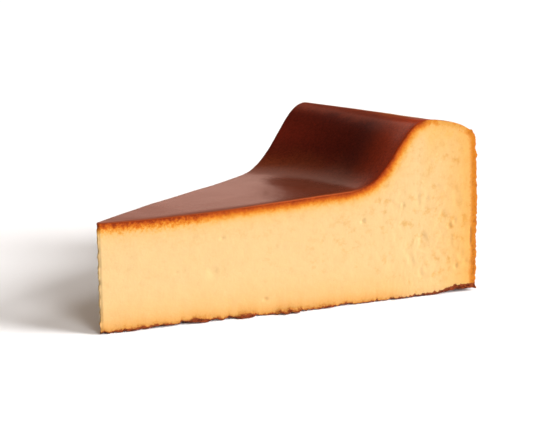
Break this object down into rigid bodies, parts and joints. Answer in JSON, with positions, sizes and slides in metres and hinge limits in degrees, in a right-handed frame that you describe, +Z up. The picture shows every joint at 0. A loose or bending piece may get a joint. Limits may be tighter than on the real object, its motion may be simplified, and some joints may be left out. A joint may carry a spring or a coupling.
{
  "type": "basque cheesecake slice",
  "caption": "Cut wedge of burnt basque cheesecake with a sunken glossy dark top, a high rounded rim, browned rind and smooth cream cut faces.",
  "frame": {"origin": "middle of the slice's base, halfway between the tip and the outer wall on the cut's middle line", "axes": "+X from the tip to the outer wall along the middle of the wedge, +Z up, near cut face on the -Y side"},
  "size_m": [0.115, 0.0707, 0.0529],
  "materials": {
    "baked_cream": "satin"
  },
  "bodies": {
    "root": {"cheesecake_slice": "baked_cream"}
  },
  "joints": []
}
